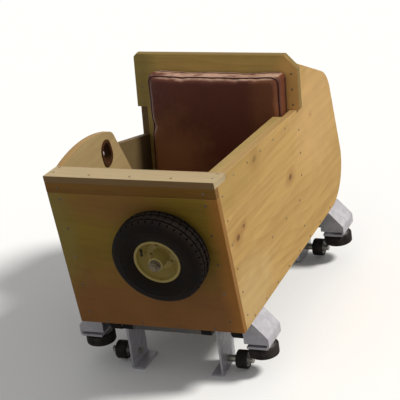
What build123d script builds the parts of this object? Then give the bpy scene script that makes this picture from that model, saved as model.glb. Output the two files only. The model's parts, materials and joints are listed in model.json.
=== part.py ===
from build123d import *
import copy
import math
import os

# Roller coaster car: a pine and plywood tub for one rider, with a spare tyre as its front bumper,
# on a welded steel underframe with four three-wheel bogies that grip a pair of tubular rails.
# Millimetres. +X is the right-hand side seen from in front, +Y is the rear, +Z is up.
# Drawn about the foot of the front board, then written out about the middle of its footprint.

# Tub
BODY_WIDTH = 458.0  # over the side boards
BOARD = 18.0  # plywood of the sides, front, floor, seat and back
FRONT_HEIGHT = 447.0  # top edge of the front above the underside
FRONT_LEAN = 63.0  # how far the top of the front stands ahead of its foot
SIDE_DROP = 63.0  # fall of the low top edge from the front to the back board
BACK_Y = 539.0  # front face of the back board, level with the low top edge
RECLINE = 8.0  # degrees that the back board leans back
BACK_RISE = 149.0  # back board above the low top edge
BACK_OVERHANG = 10.0  # how far the back board stands out past each side
BACK_CUT_RIGHT = 36.0  # cut of its top corners
BACK_CUT_LEFT = 8.0
SEAM_DROP = 48.0  # seam of the front below its top edge
TOP_BOARD_DEPTH = 77.0  # board that lies across the top of the front
BATTEN_WIDTH = 27.0  # inside the top of the right side
BATTEN_HEIGHT = 40.0
POST = 30.0  # square posts in the front corners and at the doorway

# Tail
TAIL_FOOT = 880.0  # where its rear face would reach the floor line
TAIL_LEAN = 10.0  # degrees that its rear face leans forward
TAIL_DROP = 28.0  # top of the tail below the top of the back board
TAIL_SLOPE = 27.0  # degrees that its top falls
TAIL_UPPER_RADIUS = 100.0
TAIL_LOWER_RADIUS = 120.0
SKIN = 9.0  # bent plywood round the tail

# Doorway and hand slot in the left side
DOOR_FRONT = 308.0  # top of the doorway's front edge, before its corner is rounded
DOOR_SLANT = 25.0  # how far the foot of that edge stands behind its top
SILL_DROP_FRONT = 44.0  # sill below the low top edge at its front end
SILL_DROP_REAR = 78.0
ARM_RISE = 22.0  # swell of the left side's top edge over the low top edge, front board to doorway
ARM_CORNER = 42.0
DOOR_POST_DROP = 72.0  # door post below the sill
SLOT_Y = 259.0
SLOT_DROP = 47.0  # its middle below the low top edge
SLOT_LENGTH = 68.0
SLOT_WIDTH = 48.0
SLOT_TILT = 14.0  # degrees that its foot leans to the rear

# Seat
SEAT_HEIGHT = 150.0  # top of the seat board
SEAT_FRONT = 240.0
SEAT_CUSHION = 40.0
SEAT_CUSHION_GAP = 1.5  # seat cushion to the door post
BACK_CUSHION = 58.0
BACK_CUSHION_LEFT = 36.0  # back cushion to the left side
BACK_CUSHION_RIGHT = 5.0
BACK_CUSHION_LIFT = 10.0  # its rear face above the seat cushion
BACK_CUSHION_DROP = 55.0  # and below the top of the back board
CUSHION_CORNER = 14.0
CUSHION_SEAM_GAP = 0.3  # soft pieces to what they lie on

# Bumper tyre
BUMPER_X = 67.0  # off centre to the right
BUMPER_UP = 256.0  # its axle, measured up the front board
TYRE_RADIUS = 122.0
TYRE_WIDTH = 72.0
TYRE_INNER = 58.0
TYRE_SHOULDER = 22.0
BUMPER_GAP = 5.0  # tyre to front board
RIM_HUB_RADIUS = 19.0
RIM_HUB_LENGTH = 74.0
RIM_PLATE = 4.0
RIM_WIDTH = 46.0
RIM_DISH = 10.0  # how far the plate stands off the tyre's middle
RIM_BEND = 40.0  # radius at which the plate turns out to the rim
BUMPER_AXLE = 8.0  # radius
BACKING_PLATE = 100.0
BACKING_THICKNESS = 6.0
BACKING_CORNER = 14.0
AXLE_END = 4.0  # axle beyond its nut

# Rails that the bogies are made for
RAIL_RADIUS = 21.0
RAIL_X = 172.5  # half the gauge, centre to centre
RAIL_DEPTH = 90.0  # rail centre below the tub

# Bogies
BOGIE_ROWS = (("front", 98.0), ("rear", 745.0))  # name, place along the tub
SIDES = (("right", 1), ("left", -1))  # name, side
PLATE = 6.0
BOGIE_LENGTH = 92.0
ARM_FLAT = 228.0  # where the arm starts to fall
ARM_OUT = 268.0  # outer face of the arm
ARM_FALL = 44.0
ARM_LIP = 76.0  # underside of the guide wheel's shelf
SHELF_IN = 206.0  # inner edge of that shelf
FOOT_WIDTH = 34.0
FOOT_GAP = 6.0  # foot below the upstop wheel
BEND = 9.0  # outer radius of the folds
BEND_INSIDE = 3.0
GUSSET = 4.0  # plates that close the arm's two ends
GUSSET_IN = 200.0
GUSSET_FOOT = 62.0

LOAD_RADIUS = 28.0
UPSTOP_RADIUS = 25.0
GUIDE_RADIUS = 40.0
WHEEL_WIDTH = 30.0
GUIDE_WIDTH = 28.0
WHEEL_CORNER = 3.0
WHEEL_HUB = 12.0  # radius
HUB_PROUD = 3.0
WHEEL_DISH = 4.0
TREAD = 7.0  # depth of the tread ring outside the dish
BOLT = 5.0  # radius of the wheel bolts
HEAD_FLATS = 17.0
HEAD = 6.5
NUT = 8.0
WASHER = 9.5
WASHER_THICKNESS = 2.0
RUNNING = 0.05  # radial play of a wheel on its bolt
END_PLAY = 0.5
COLLAR = 5.0  # guide wheel's hub below its shelf
SLIP = 0.2  # radial play of a bolt in a plain hole

# Underframe
TUBE = 30.0
TUBE_WALL = 3.0
FRAME_X = 110.0  # centre of each long tube
FRAME_FRONT = 30.0
FRAME_REAR = 792.0
FRAME_MIDDLE = 400.0  # middle cross tube

# Chain dog
DOG_Y = 250.0  # pin
DOG_THICKNESS = 16.0
DOG_LENGTH = 70.0
DOG_HEIGHT = 34.0
DOG_CORNER = 4.0
DOG_PIN = 6.0
DOG_PIN_DROP = 46.0
CHEEK = 6.0
CHEEK_GAP = 1.0
CHEEK_LENGTH = 60.0

# Tow tab at the rear
TAB_THICKNESS = 8.0
TAB_LENGTH = 58.0
TAB_ROUND = 24.0
TAB_HOLE = 6.5

HALF = BODY_WIDTH / 2
INSIDE = HALF - BOARD
LEAN_ANGLE = math.degrees(math.atan2(FRONT_LEAN, FRONT_HEIGHT))
FRONT_RUN = BOARD / math.cos(math.radians(LEAN_ANGLE))  # front board measured along Y
TOP_FALL = SIDE_DROP / (BACK_Y + FRONT_LEAN)
LOW_END = FRONT_HEIGHT - SIDE_DROP  # low top edge at the back board
BACK_RUN = BOARD / math.cos(math.radians(RECLINE))  # back board measured along Y
BACK_HEIGHT = LOW_END + BACK_RISE
TAIL_HEIGHT = BACK_HEIGHT - TAIL_DROP
BACK_CUSHION_FOOT = SEAT_HEIGHT + SEAT_CUSHION + BACK_CUSHION_LIFT
BACK_CUSHION_TOP = BACK_HEIGHT - BACK_CUSHION_DROP
DOOR_REAR = DOOR_FRONT + DOOR_SLANT  # front end of the sill
SILL_FRONT = FRONT_HEIGHT - TOP_FALL * (DOOR_REAR + FRONT_LEAN) - SILL_DROP_FRONT
SILL_REAR = LOW_END - SILL_DROP_REAR
SLOT_Z = FRONT_HEIGHT - TOP_FALL * (SLOT_Y + FRONT_LEAN) - SLOT_DROP
SEAM = FRONT_HEIGHT - SEAM_DROP
TOP_BOARD_REAR = TOP_BOARD_DEPTH - FRONT_LEAN
FLOOR_REAR = TAIL_FOOT - TAIL_LOWER_RADIUS * math.tan(math.radians(45 + TAIL_LEAN / 2))
LOAD_Z = -RAIL_DEPTH + RAIL_RADIUS + LOAD_RADIUS
UPSTOP_Z = -RAIL_DEPTH - RAIL_RADIUS - UPSTOP_RADIUS
GUIDE_X = RAIL_X + RAIL_RADIUS + GUIDE_RADIUS
GUIDE_REACH = GUIDE_WIDTH / 2 + HUB_PROUD
GUIDE_DROP = ARM_LIP + COLLAR + GUIDE_REACH  # guide wheel's middle below the tub
FOOT_Z = UPSTOP_Z - UPSTOP_RADIUS - FOOT_GAP
WEB_X = FRAME_X + TUBE / 2
CROSS_TUBES = (
    ("front", FRAME_FRONT + TUBE / 2),
    ("middle", FRAME_MIDDLE),
    ("rear", FRAME_REAR - TUBE / 2),
)
BUMPER_Z = BUMPER_UP * math.cos(math.radians(LEAN_ANGLE))


def front_y(z):
    """Front face of the front board at a height."""
    return -FRONT_LEAN * z / FRONT_HEIGHT


def low_top(y):
    """Low top edge of the sides at a place along the tub."""
    return FRONT_HEIGHT - TOP_FALL * (y + FRONT_LEAN)


def meets_top(foot_y, drop):
    """Height at which a line that leans like the front reaches that far under the low top edge."""
    return (low_top(foot_y) - drop) / (1 - TOP_FALL * FRONT_LEAN / FRONT_HEIGHT)


def back_face(z):
    """Front face of the back board at a height."""
    return BACK_Y + (z - LOW_END) * math.tan(math.radians(RECLINE))


def back_rear(z):
    """Rear face of the back board at a height."""
    return back_face(z) + BACK_RUN


def side_face(points):
    """Face in the side view from (y, z) points."""
    return make_face(Polyline(*points, close=True))


def rounded(face, corners, radius):
    """Rounds the corners of a face that lie at those places."""
    picked = [face.vertices().sort_by_distance(corner)[0] for corner in corners]
    return fillet(picked, radius)


def across(face, x_from, x_to):
    """Solid from a side-view face, between two places across the car."""
    return extrude(Plane.YZ.offset(x_from) * face, x_to - x_from)


def tail_corners(inset=0.0):
    """Lower and upper rear corner of the tail and its top at the back board, drawn in by a thickness."""
    slope = math.tan(math.radians(TAIL_SLOPE))
    lean = math.tan(math.radians(TAIL_LEAN))
    recline = math.tan(math.radians(RECLINE))
    foot = TAIL_FOOT - inset / math.cos(math.radians(TAIL_LEAN))
    drop = inset / math.cos(math.radians(TAIL_SLOPE))
    upper = (TAIL_HEIGHT - drop - (foot - back_rear(TAIL_HEIGHT)) * slope) / (1 - slope * lean)
    top = TAIL_HEIGHT - drop / (1 + slope * recline)
    return (foot - inset * lean, inset), (foot - upper * lean, upper), (back_rear(top), top)


def rounded_tail(face, inset=0.0):
    """Rounds the two rear corners of a side-view face."""
    lower, upper, _ = tail_corners(inset)
    for corner, radius in ((upper, TAIL_UPPER_RADIUS), (lower, TAIL_LOWER_RADIUS)):
        face = rounded(face, [corner], radius - inset)
    return face


def box(x, y, z):
    """Box between three (from, to) pairs."""
    size = [b - a for a, b in (x, y, z)]
    middle = [(a + b) / 2 for a, b in (x, y, z)]
    return Pos(*middle) * Box(*size)


def side_outline(top_points):
    """Side board in the side view, behind the front board, with its own top edge."""
    head = meets_top(FRONT_RUN, BOARD)
    lower, upper, top = tail_corners()
    return [
        (FRONT_RUN, 0),
        (front_y(head) + FRONT_RUN, head),
        (TOP_BOARD_REAR, low_top(TOP_BOARD_REAR) - BOARD),
        (TOP_BOARD_REAR, low_top(TOP_BOARD_REAR)),
    ] + top_points + [(back_rear(LOW_END), LOW_END), top, upper, lower]


def side_panel_right():
    points = side_outline([(BACK_Y, LOW_END)])
    return across(rounded_tail(side_face(points)), INSIDE, HALF)


def side_panel_left():
    start = (TOP_BOARD_REAR, low_top(TOP_BOARD_REAR))
    end = (DOOR_FRONT, low_top(DOOR_FRONT))
    points = side_outline([
        end,
        (DOOR_REAR, SILL_FRONT),
        (back_face(SILL_REAR), SILL_REAR),
        (BACK_Y, LOW_END),
    ])
    crown = ((start[0] + end[0]) / 2, (start[1] + end[1]) / 2 + ARM_RISE)
    arm = make_face(Wire([ThreePointArc(start, crown, end), Line(end, start)]))
    face = rounded(rounded_tail(side_face(points)) + arm, [end], ARM_CORNER)
    slot = Pos(SLOT_Y, SLOT_Z) * Rot(0, 0, 90 + SLOT_TILT) * SlotOverall(SLOT_LENGTH, SLOT_WIDTH)
    return across(face - slot, -HALF, -INSIDE)


def front_board(foot, outer_top, inner_top):
    """Leaning board across the front, with the heights of its foot and of its top's two edges."""
    points = [
        (front_y(foot), foot),
        (front_y(outer_top), outer_top),
        (front_y(inner_top) + FRONT_RUN, inner_top),
        (front_y(foot) + FRONT_RUN, foot),
    ]
    return across(side_face(points), -HALF, HALF)


def front_panel():
    return front_board(0, SEAM, SEAM) - bumper_hole()


def front_top_rail():
    return front_board(SEAM, meets_top(0, BOARD), meets_top(FRONT_RUN, BOARD))


def top_board():
    head = meets_top(0, BOARD)
    points = [
        (front_y(head), head),
        (front_y(FRONT_HEIGHT), FRONT_HEIGHT),
        (TOP_BOARD_REAR, low_top(TOP_BOARD_REAR)),
        (TOP_BOARD_REAR, low_top(TOP_BOARD_REAR) - BOARD),
    ]
    return across(side_face(points), -HALF, HALF)


def batten_right():
    cushion = BACK_CUSHION / math.cos(math.radians(RECLINE)) + 2 * CUSHION_SEAM_GAP
    rear = back_face(LOW_END - BATTEN_HEIGHT) - cushion
    points = [
        (TOP_BOARD_REAR, low_top(TOP_BOARD_REAR)),
        (rear, low_top(rear)),
        (rear, low_top(rear) - BATTEN_HEIGHT),
        (TOP_BOARD_REAR, low_top(TOP_BOARD_REAR) - BATTEN_HEIGHT),
    ]
    return across(side_face(points), INSIDE - BATTEN_WIDTH, INSIDE)


def front_post(side):
    foot = FRONT_RUN + front_y(BOARD)
    near = meets_top(FRONT_RUN, BOARD)
    far = meets_top(FRONT_RUN + POST, BOARD)
    points = [
        (foot, BOARD),
        (FRONT_RUN + front_y(near), near),
        (FRONT_RUN + POST + front_y(far), far),
        (foot + POST, BOARD),
    ]
    inner, outer = sorted((side * INSIDE, side * (INSIDE - POST)))
    return across(side_face(points), inner, outer)


def door_post():
    height = (SEAT_HEIGHT, SILL_FRONT - DOOR_POST_DROP)
    return box((-INSIDE, -INSIDE + BOARD), (DOOR_FRONT - POST, DOOR_FRONT), height)


def floor_board():
    points = [
        (FRONT_RUN, 0),
        (FRONT_RUN + front_y(BOARD), BOARD),
        (FLOOR_REAR, BOARD),
        (FLOOR_REAR, 0),
    ]
    return across(side_face(points), -INSIDE, INSIDE)


def reclined(z_from, z_to, x_from, x_to):
    """Piece of the back board between two heights."""
    points = [
        (back_face(z_from), z_from),
        (back_face(z_to), z_to),
        (back_rear(z_to), z_to),
        (back_rear(z_from), z_from),
    ]
    return across(side_face(points), x_from, x_to)


def back_panel():
    wide = HALF + BACK_OVERHANG
    high = reclined(LOW_END, BACK_HEIGHT, -wide, wide)
    for end, cut in ((0, BACK_CUT_LEFT), (-1, BACK_CUT_RIGHT)):
        corner = high.edges().filter_by(Axis.Y).group_by(Axis.Z)[-1].sort_by(Axis.X)[end]
        high = chamfer(corner, cut)
    return reclined(BOARD, LOW_END, -INSIDE, INSIDE) + high


def tail_region(inset):
    """Side view of the tail behind the back board, drawn in by a thickness."""
    lower, upper, top = tail_corners(inset)
    return rounded_tail(side_face([(back_rear(inset), inset), lower, upper, top]), inset)


def tail_skin():
    skin = across(tail_region(0) - tail_region(SKIN), -INSIDE, INSIDE)
    return skin - box((-BODY_WIDTH, BODY_WIDTH), (0, FLOOR_REAR), (-1, BOARD))


def seat_board():
    under = SEAT_HEIGHT - BOARD
    points = [
        (SEAT_FRONT, under),
        (SEAT_FRONT, SEAT_HEIGHT),
        (back_face(SEAT_HEIGHT), SEAT_HEIGHT),
        (back_face(under), under),
    ]
    return across(side_face(points), -INSIDE, INSIDE)


def seat_riser():
    return box((-INSIDE, INSIDE), (SEAT_FRONT, SEAT_FRONT + BOARD), (BOARD, SEAT_HEIGHT - BOARD))


def cushion(x, y, z):
    pad = box(x, y, z)
    return fillet(pad.edges(), CUSHION_CORNER)


def seat_cushion():
    reach = INSIDE - BOARD - SEAT_CUSHION_GAP
    foot = SEAT_HEIGHT + CUSHION_SEAM_GAP
    rear = back_face(SEAT_HEIGHT) - CUSHION_SEAM_GAP
    return cushion((-reach, reach), (SEAT_FRONT, rear), (foot, foot + SEAT_CUSHION))


def back_cushion():
    height = (BACK_CUSHION_TOP - BACK_CUSHION_FOOT) / math.cos(math.radians(RECLINE))
    pad = cushion(
        (-INSIDE + BACK_CUSHION_LEFT, INSIDE - BACK_CUSHION_RIGHT),
        (-CUSHION_SEAM_GAP - BACK_CUSHION, -CUSHION_SEAM_GAP),
        (0, height),
    )
    return Pos(0, back_face(BACK_CUSHION_FOOT), BACK_CUSHION_FOOT) * Rot(-RECLINE, 0, 0) * pad


# Bumper tyre, drawn about its axle with +Z pointing out of the front board
def on_front(shape):
    turn = Plane(
        origin=(BUMPER_X, front_y(BUMPER_Z), BUMPER_Z),
        x_dir=(1, 0, 0),
        z_dir=(0, -FRONT_HEIGHT, -FRONT_LEAN),
    )
    return turn.location * shape


def disc(radius, z_from, z_to):
    return Pos(0, 0, (z_from + z_to) / 2) * Cylinder(radius, z_to - z_from)


def bumper_hole():
    return on_front(disc(BUMPER_AXLE + SLIP, -BOARD - 1, 1))


tyre_middle = BUMPER_GAP + TYRE_WIDTH / 2


def turned(points):
    """Solid of revolution about Z from (radius, height) points."""
    face = make_face(Polyline(*points, close=True))
    return revolve(Plane.XZ * face, Axis.Z)


def bumper_tyre():
    half = TYRE_WIDTH / 2
    seat = RIM_WIDTH / 2
    face = make_face(Polyline(
        (TYRE_INNER, -seat),
        (TYRE_RADIUS, -half),
        (TYRE_RADIUS, half),
        (TYRE_INNER, seat),
        close=True,
    ))
    face = rounded(face, [(TYRE_RADIUS, -half), (TYRE_RADIUS, half)], TYRE_SHOULDER)
    return on_front(Pos(0, 0, tyre_middle) * revolve(Plane.XZ * face, Axis.Z))


def bumper_rim():
    """Hub, a plate dished in from the outer side, and the ring that the tyre sits on."""
    half = RIM_WIDTH / 2
    hub = RIM_HUB_LENGTH / 2
    well = TYRE_INNER - RIM_PLATE
    points = [
        (BUMPER_AXLE + RUNNING, -hub),
        (RIM_HUB_RADIUS, -hub),
        (RIM_HUB_RADIUS, -RIM_DISH),
        (RIM_BEND, -RIM_DISH),
        (well, RIM_DISH),
        (well, -half),
        (TYRE_INNER, -half),
        (TYRE_INNER, half),
        (well, half),
        (well, RIM_DISH + RIM_PLATE),
        (RIM_BEND - RIM_PLATE, -RIM_DISH + RIM_PLATE),
        (RIM_HUB_RADIUS, -RIM_DISH + RIM_PLATE),
        (RIM_HUB_RADIUS, hub),
        (BUMPER_AXLE + RUNNING, hub),
    ]
    return on_front(Pos(0, 0, tyre_middle) * turned(points))


def hexagon(flats, z_from, z_to):
    return Pos(0, 0, z_from) * extrude(RegularPolygon(flats / 2, 6, major_radius=False), z_to - z_from)


def bumper_axle():
    hub_in = tyre_middle - RIM_HUB_LENGTH / 2 - END_PLAY
    hub_out = tyre_middle + RIM_HUB_LENGTH / 2 + END_PLAY
    back = -BOARD - BACKING_THICKNESS
    axle = disc(BUMPER_AXLE, back, hub_out + WASHER_THICKNESS + NUT + AXLE_END)
    axle += disc(BUMPER_AXLE * 2, 0, hub_in)
    axle += disc(BUMPER_AXLE * 2, hub_out, hub_out + WASHER_THICKNESS)
    axle += hexagon(BUMPER_AXLE * 3, hub_out + WASHER_THICKNESS, hub_out + WASHER_THICKNESS + NUT)
    axle += hexagon(BUMPER_AXLE * 3, back - HEAD, back)
    return on_front(axle)


def bumper_backing():
    plate = Pos(0, 0, -BOARD - BACKING_THICKNESS / 2) * Box(BACKING_PLATE, BACKING_PLATE, BACKING_THICKNESS)
    plate = fillet(plate.edges().filter_by(Axis.Z), BACKING_CORNER)
    return on_front(plate - disc(BUMPER_AXLE + SLIP, -2 * BACKING_PLATE, 0))


# Bogies, drawn for the right-hand side about their own middle, then mirrored
def rail_wheel(radius, width):
    half = width / 2
    dish = half - WHEEL_DISH
    rim = radius - TREAD
    face = make_face(Polyline(
        (BOLT + RUNNING, -half - HUB_PROUD),
        (WHEEL_HUB, -half - HUB_PROUD),
        (WHEEL_HUB, -dish),
        (rim, -dish),
        (rim, -half),
        (radius, -half),
        (radius, half),
        (rim, half),
        (rim, dish),
        (WHEEL_HUB, dish),
        (WHEEL_HUB, half + HUB_PROUD),
        (BOLT + RUNNING, half + HUB_PROUD),
        close=True,
    ))
    edges = [face.vertices().sort_by_distance((radius, z))[0] for z in (-half, half)]
    return revolve(Plane.XZ * chamfer(edges, WHEEL_CORNER), Axis.Z)


def along_x(x, z):
    """Place for a wheel that turns about the car's width."""
    return Pos(x, 0, z) * Rot(0, 90, 0)


WHEELS = (
    # name, radius, width, place on the right-hand side
    ("load_wheel", LOAD_RADIUS, WHEEL_WIDTH, along_x(RAIL_X, LOAD_Z)),
    ("upstop_wheel", UPSTOP_RADIUS, WHEEL_WIDTH, along_x(RAIL_X, UPSTOP_Z)),
    ("guide_wheel", GUIDE_RADIUS, GUIDE_WIDTH, Pos(GUIDE_X, 0, -GUIDE_DROP)),
)


def arm_face(inset):
    """Folded arm over the rail, in the end view, outer skin drawn in by a thickness."""
    fold = math.atan2(ARM_FALL, ARM_OUT - ARM_FLAT)
    return [
        (WEB_X, -inset),
        (ARM_FLAT - inset * math.tan(fold / 2), -inset),
        (ARM_OUT - inset, -ARM_FALL - inset * math.tan(math.radians(45) - fold / 2)),
        (ARM_OUT - inset, -ARM_LIP + inset),
        (SHELF_IN, -ARM_LIP + inset),
    ]


def carrier():
    """Folded arm over the rail with closed ends, and a web that runs down to a folded foot."""
    outer = arm_face(0)
    inner = arm_face(PLATE)
    arm = make_face(Polyline(*outer, *reversed(inner), close=True))
    arm = rounded(arm, outer[1:4], BEND)
    arm = rounded(arm, inner[1:4], BEND_INSIDE)
    web = [
        (WEB_X, 0),
        (WEB_X + PLATE, 0),
        (WEB_X + PLATE, FOOT_Z),
        (WEB_X + PLATE - FOOT_WIDTH, FOOT_Z),
        (WEB_X + PLATE - FOOT_WIDTH, FOOT_Z + PLATE),
        (WEB_X, FOOT_Z + PLATE),
    ]
    face = arm + rounded(make_face(Polyline(*web, close=True)), [web[2]], BEND)
    solid = extrude(Plane.XZ * face, BOGIE_LENGTH / 2, both=True)
    skin = arm_face(PLATE / 2)
    gusset = make_face(Polyline(
        (GUSSET_IN, -PLATE / 2),
        skin[1],
        skin[2],
        (skin[2][0], -GUSSET_FOOT),
        (GUSSET_IN, -GUSSET_FOOT),
        close=True,
    ))
    middle = (BOGIE_LENGTH - GUSSET) / 2
    for y in (-middle, middle):
        solid += Pos(0, y, 0) * extrude(Plane.XZ * gusset, GUSSET / 2, both=True)
    for z in (LOAD_Z, UPSTOP_Z):
        solid -= along_x(WEB_X, z) * Cylinder(BOLT + SLIP, 4 * PLATE)
    return solid - Pos(GUIDE_X, 0, -ARM_LIP) * Cylinder(BOLT + SLIP, 4 * PLATE)


def wheel_bolt(head_at, wheel_from, wheel_to):
    """Bolt along +Z: head, shank, collar up to the wheel, washer and nut beyond it."""
    bolt = hexagon(HEAD_FLATS, head_at - HEAD, head_at)
    bolt += disc(BOLT, head_at - HEAD / 2, wheel_to + END_PLAY + WASHER_THICKNESS + NUT)
    bolt += disc(WASHER, head_at + PLATE, wheel_from - END_PLAY)
    end = wheel_to + END_PLAY
    bolt += disc(WASHER, end, end + WASHER_THICKNESS)
    bolt += hexagon(HEAD_FLATS, end + WASHER_THICKNESS, end + WASHER_THICKNESS + NUT)
    return bolt


def wheel_bolts():
    reach = WHEEL_WIDTH / 2 + HUB_PROUD
    bolts = []
    for z in (LOAD_Z, UPSTOP_Z):
        bolt = wheel_bolt(WEB_X, RAIL_X - reach, RAIL_X + reach)
        bolts.append(Pos(0, 0, z) * Rot(0, 90, 0) * bolt)
    bolt = wheel_bolt(ARM_LIP - PLATE, GUIDE_DROP - GUIDE_REACH, GUIDE_DROP + GUIDE_REACH)
    bolts.append(Pos(GUIDE_X, 0, 0) * Rot(180, 0, 0) * bolt)
    return bolts


def on_side(shape, side, y):
    shape = Pos(0, y, 0) * shape
    return shape if side > 0 else mirror(shape, Plane.YZ)


# Underframe
def tube_along_y(x, y_from, y_to):
    outer = Rectangle(TUBE, TUBE)
    inner = Rectangle(TUBE - 2 * TUBE_WALL, TUBE - 2 * TUBE_WALL)
    place = Plane(origin=(x, y_from, -TUBE / 2), x_dir=(1, 0, 0), z_dir=(0, 1, 0))
    return extrude(place * (outer - inner), y_to - y_from)


def tube_across(y):
    reach = FRAME_X - TUBE / 2
    outer = Rectangle(TUBE, TUBE)
    inner = Rectangle(TUBE - 2 * TUBE_WALL, TUBE - 2 * TUBE_WALL)
    return extrude(Plane.YZ.offset(-reach) * Pos(y, -TUBE / 2) * (outer - inner), 2 * reach)


def chain_dog():
    plate = [
        (-DOG_HEIGHT / 2, DOG_HEIGHT / 2),
        (DOG_HEIGHT / 2, DOG_HEIGHT / 2),
        (DOG_LENGTH, -DOG_HEIGHT * 1.1),
        (DOG_LENGTH, -DOG_HEIGHT * 1.6),
        (DOG_LENGTH * 0.62, -DOG_HEIGHT * 1.6),
        (-DOG_HEIGHT / 2, -DOG_HEIGHT / 2),
    ]
    face = fillet(make_face(Polyline(*plate, close=True)).vertices(), DOG_CORNER)
    face -= Circle(DOG_PIN + RUNNING)
    place = Pos(DOG_Y, -DOG_PIN_DROP)
    return across(place * face, -DOG_THICKNESS / 2, DOG_THICKNESS / 2)


def dog_bracket():
    """Two cheeks with a top plate under the floor board, in one folded piece."""
    cheek_in = DOG_THICKNESS / 2 + CHEEK_GAP
    top = box(
        (-cheek_in - CHEEK, cheek_in + CHEEK),
        (DOG_Y - CHEEK_LENGTH / 2, DOG_Y + CHEEK_LENGTH / 2),
        (-CHEEK, 0),
    )
    piece = top
    for side in (1, -1):
        x = sorted((side * cheek_in, side * (cheek_in + CHEEK)))
        y = (DOG_Y - CHEEK_LENGTH / 3, DOG_Y + CHEEK_LENGTH / 3)
        piece += box(x, y, (-DOG_PIN_DROP - 2 * DOG_PIN, -CHEEK))
    return piece - Pos(0, DOG_Y, -DOG_PIN_DROP) * Rot(0, 90, 0) * Cylinder(DOG_PIN + SLIP, 8 * CHEEK)


def dog_pin():
    reach = DOG_THICKNESS / 2 + CHEEK_GAP + CHEEK + WASHER_THICKNESS
    pin = disc(DOG_PIN, -reach, reach)
    for side in (1, -1):
        z = sorted((side * reach, side * (reach + WASHER_THICKNESS)))
        pin += disc(DOG_PIN * 1.6, *z)
    return Pos(0, DOG_Y, -DOG_PIN_DROP) * Rot(0, 90, 0) * pin


def tow_tab():
    """Flat tab under the rear cross tube, with a round end and a hole for a shackle or drawbar."""
    rear = FRAME_REAR + TAB_LENGTH
    tab = box((-TUBE, TUBE), (FRAME_REAR - TUBE, rear), (-TUBE - TAB_THICKNESS, -TUBE))
    tab = fillet(tab.edges().filter_by(Axis.Z).group_by(Axis.Y)[-1], TAB_ROUND)
    return tab - Pos(0, rear - TAB_ROUND, -TUBE) * Cylinder(TAB_HOLE, 3 * TAB_THICKNESS)


pieces = {
    "floor_board": floor_board(),
    "side_panel_right": side_panel_right(),
    "side_panel_left": side_panel_left(),
    "front_panel": front_panel(),
    "front_top_rail": front_top_rail(),
    "top_board": top_board(),
    "top_batten_right": batten_right(),
    "front_post_right": front_post(1),
    "front_post_left": front_post(-1),
    "door_post": door_post(),
    "back_panel": back_panel(),
    "tail_skin": tail_skin(),
    "seat_board": seat_board(),
    "seat_riser": seat_riser(),
    "seat_cushion": seat_cushion(),
    "back_cushion": back_cushion(),
    "bumper_tyre": bumper_tyre(),
    "bumper_rim": bumper_rim(),
    "bumper_axle": bumper_axle(),
    "bumper_backing_plate": bumper_backing(),
    "chain_dog": chain_dog(),
    "chain_dog_bracket": dog_bracket(),
    "chain_dog_pin": dog_pin(),
    "tow_tab": tow_tab(),
}
for side_name, side in SIDES:
    pieces[f"frame_tube_{side_name}"] = tube_along_y(side * FRAME_X, FRAME_FRONT, FRAME_REAR)
for row_name, y in CROSS_TUBES:
    pieces[f"cross_tube_{row_name}"] = tube_across(y)
for row_name, y in BOGIE_ROWS:
    for side_name, side in SIDES:
        corner = f"{row_name}_{side_name}"
        pieces[f"carrier_{corner}"] = on_side(carrier(), side, y)
        bolts = [on_side(bolt, side, y) for bolt in wheel_bolts()]
        pieces[f"wheel_bolts_{corner}"] = Compound(children=bolts)
        for wheel, radius, width, place in WHEELS:
            pieces[f"{wheel}_{corner}"] = on_side(place * rail_wheel(radius, width), side, y)

span = Compound(children=[copy.copy(shape) for shape in pieces.values()]).bounding_box()
to_footprint = Pos(0, -(span.min.Y + span.max.Y) / 2, -span.min.Z)
os.makedirs("parts", exist_ok=True)
for name, shape in pieces.items():
    export_step(to_footprint * shape, f"parts/{name}.step")
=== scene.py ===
import json
import math
import random

import bmesh
import bpy
from mathutils import Matrix, Vector
from mathutils.kdtree import KDTree


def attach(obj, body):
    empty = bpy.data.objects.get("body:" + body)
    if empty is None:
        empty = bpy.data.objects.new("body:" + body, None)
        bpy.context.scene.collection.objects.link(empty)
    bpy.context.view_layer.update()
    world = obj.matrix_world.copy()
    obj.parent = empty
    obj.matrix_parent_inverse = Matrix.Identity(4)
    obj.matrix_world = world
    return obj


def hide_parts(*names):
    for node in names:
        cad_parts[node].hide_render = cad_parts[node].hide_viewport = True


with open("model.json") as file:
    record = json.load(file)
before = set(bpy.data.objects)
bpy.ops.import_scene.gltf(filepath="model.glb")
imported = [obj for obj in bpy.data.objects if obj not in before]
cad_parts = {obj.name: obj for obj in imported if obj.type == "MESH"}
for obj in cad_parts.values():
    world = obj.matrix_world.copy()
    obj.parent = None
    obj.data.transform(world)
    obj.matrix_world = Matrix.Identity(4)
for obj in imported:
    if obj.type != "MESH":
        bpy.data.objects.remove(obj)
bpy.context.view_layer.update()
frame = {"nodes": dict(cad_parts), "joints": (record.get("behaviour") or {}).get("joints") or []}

# Roller coaster car: finishes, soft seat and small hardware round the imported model. Metres.
scene = bpy.context.scene
nodes = frame["nodes"]
joint_of = {joint["child"]: joint for joint in frame["joints"]}
ROWS = ("front", "rear")
SIDES = ("right", "left")
BOTH = (1, -1)  # right and left of the middle

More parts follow.
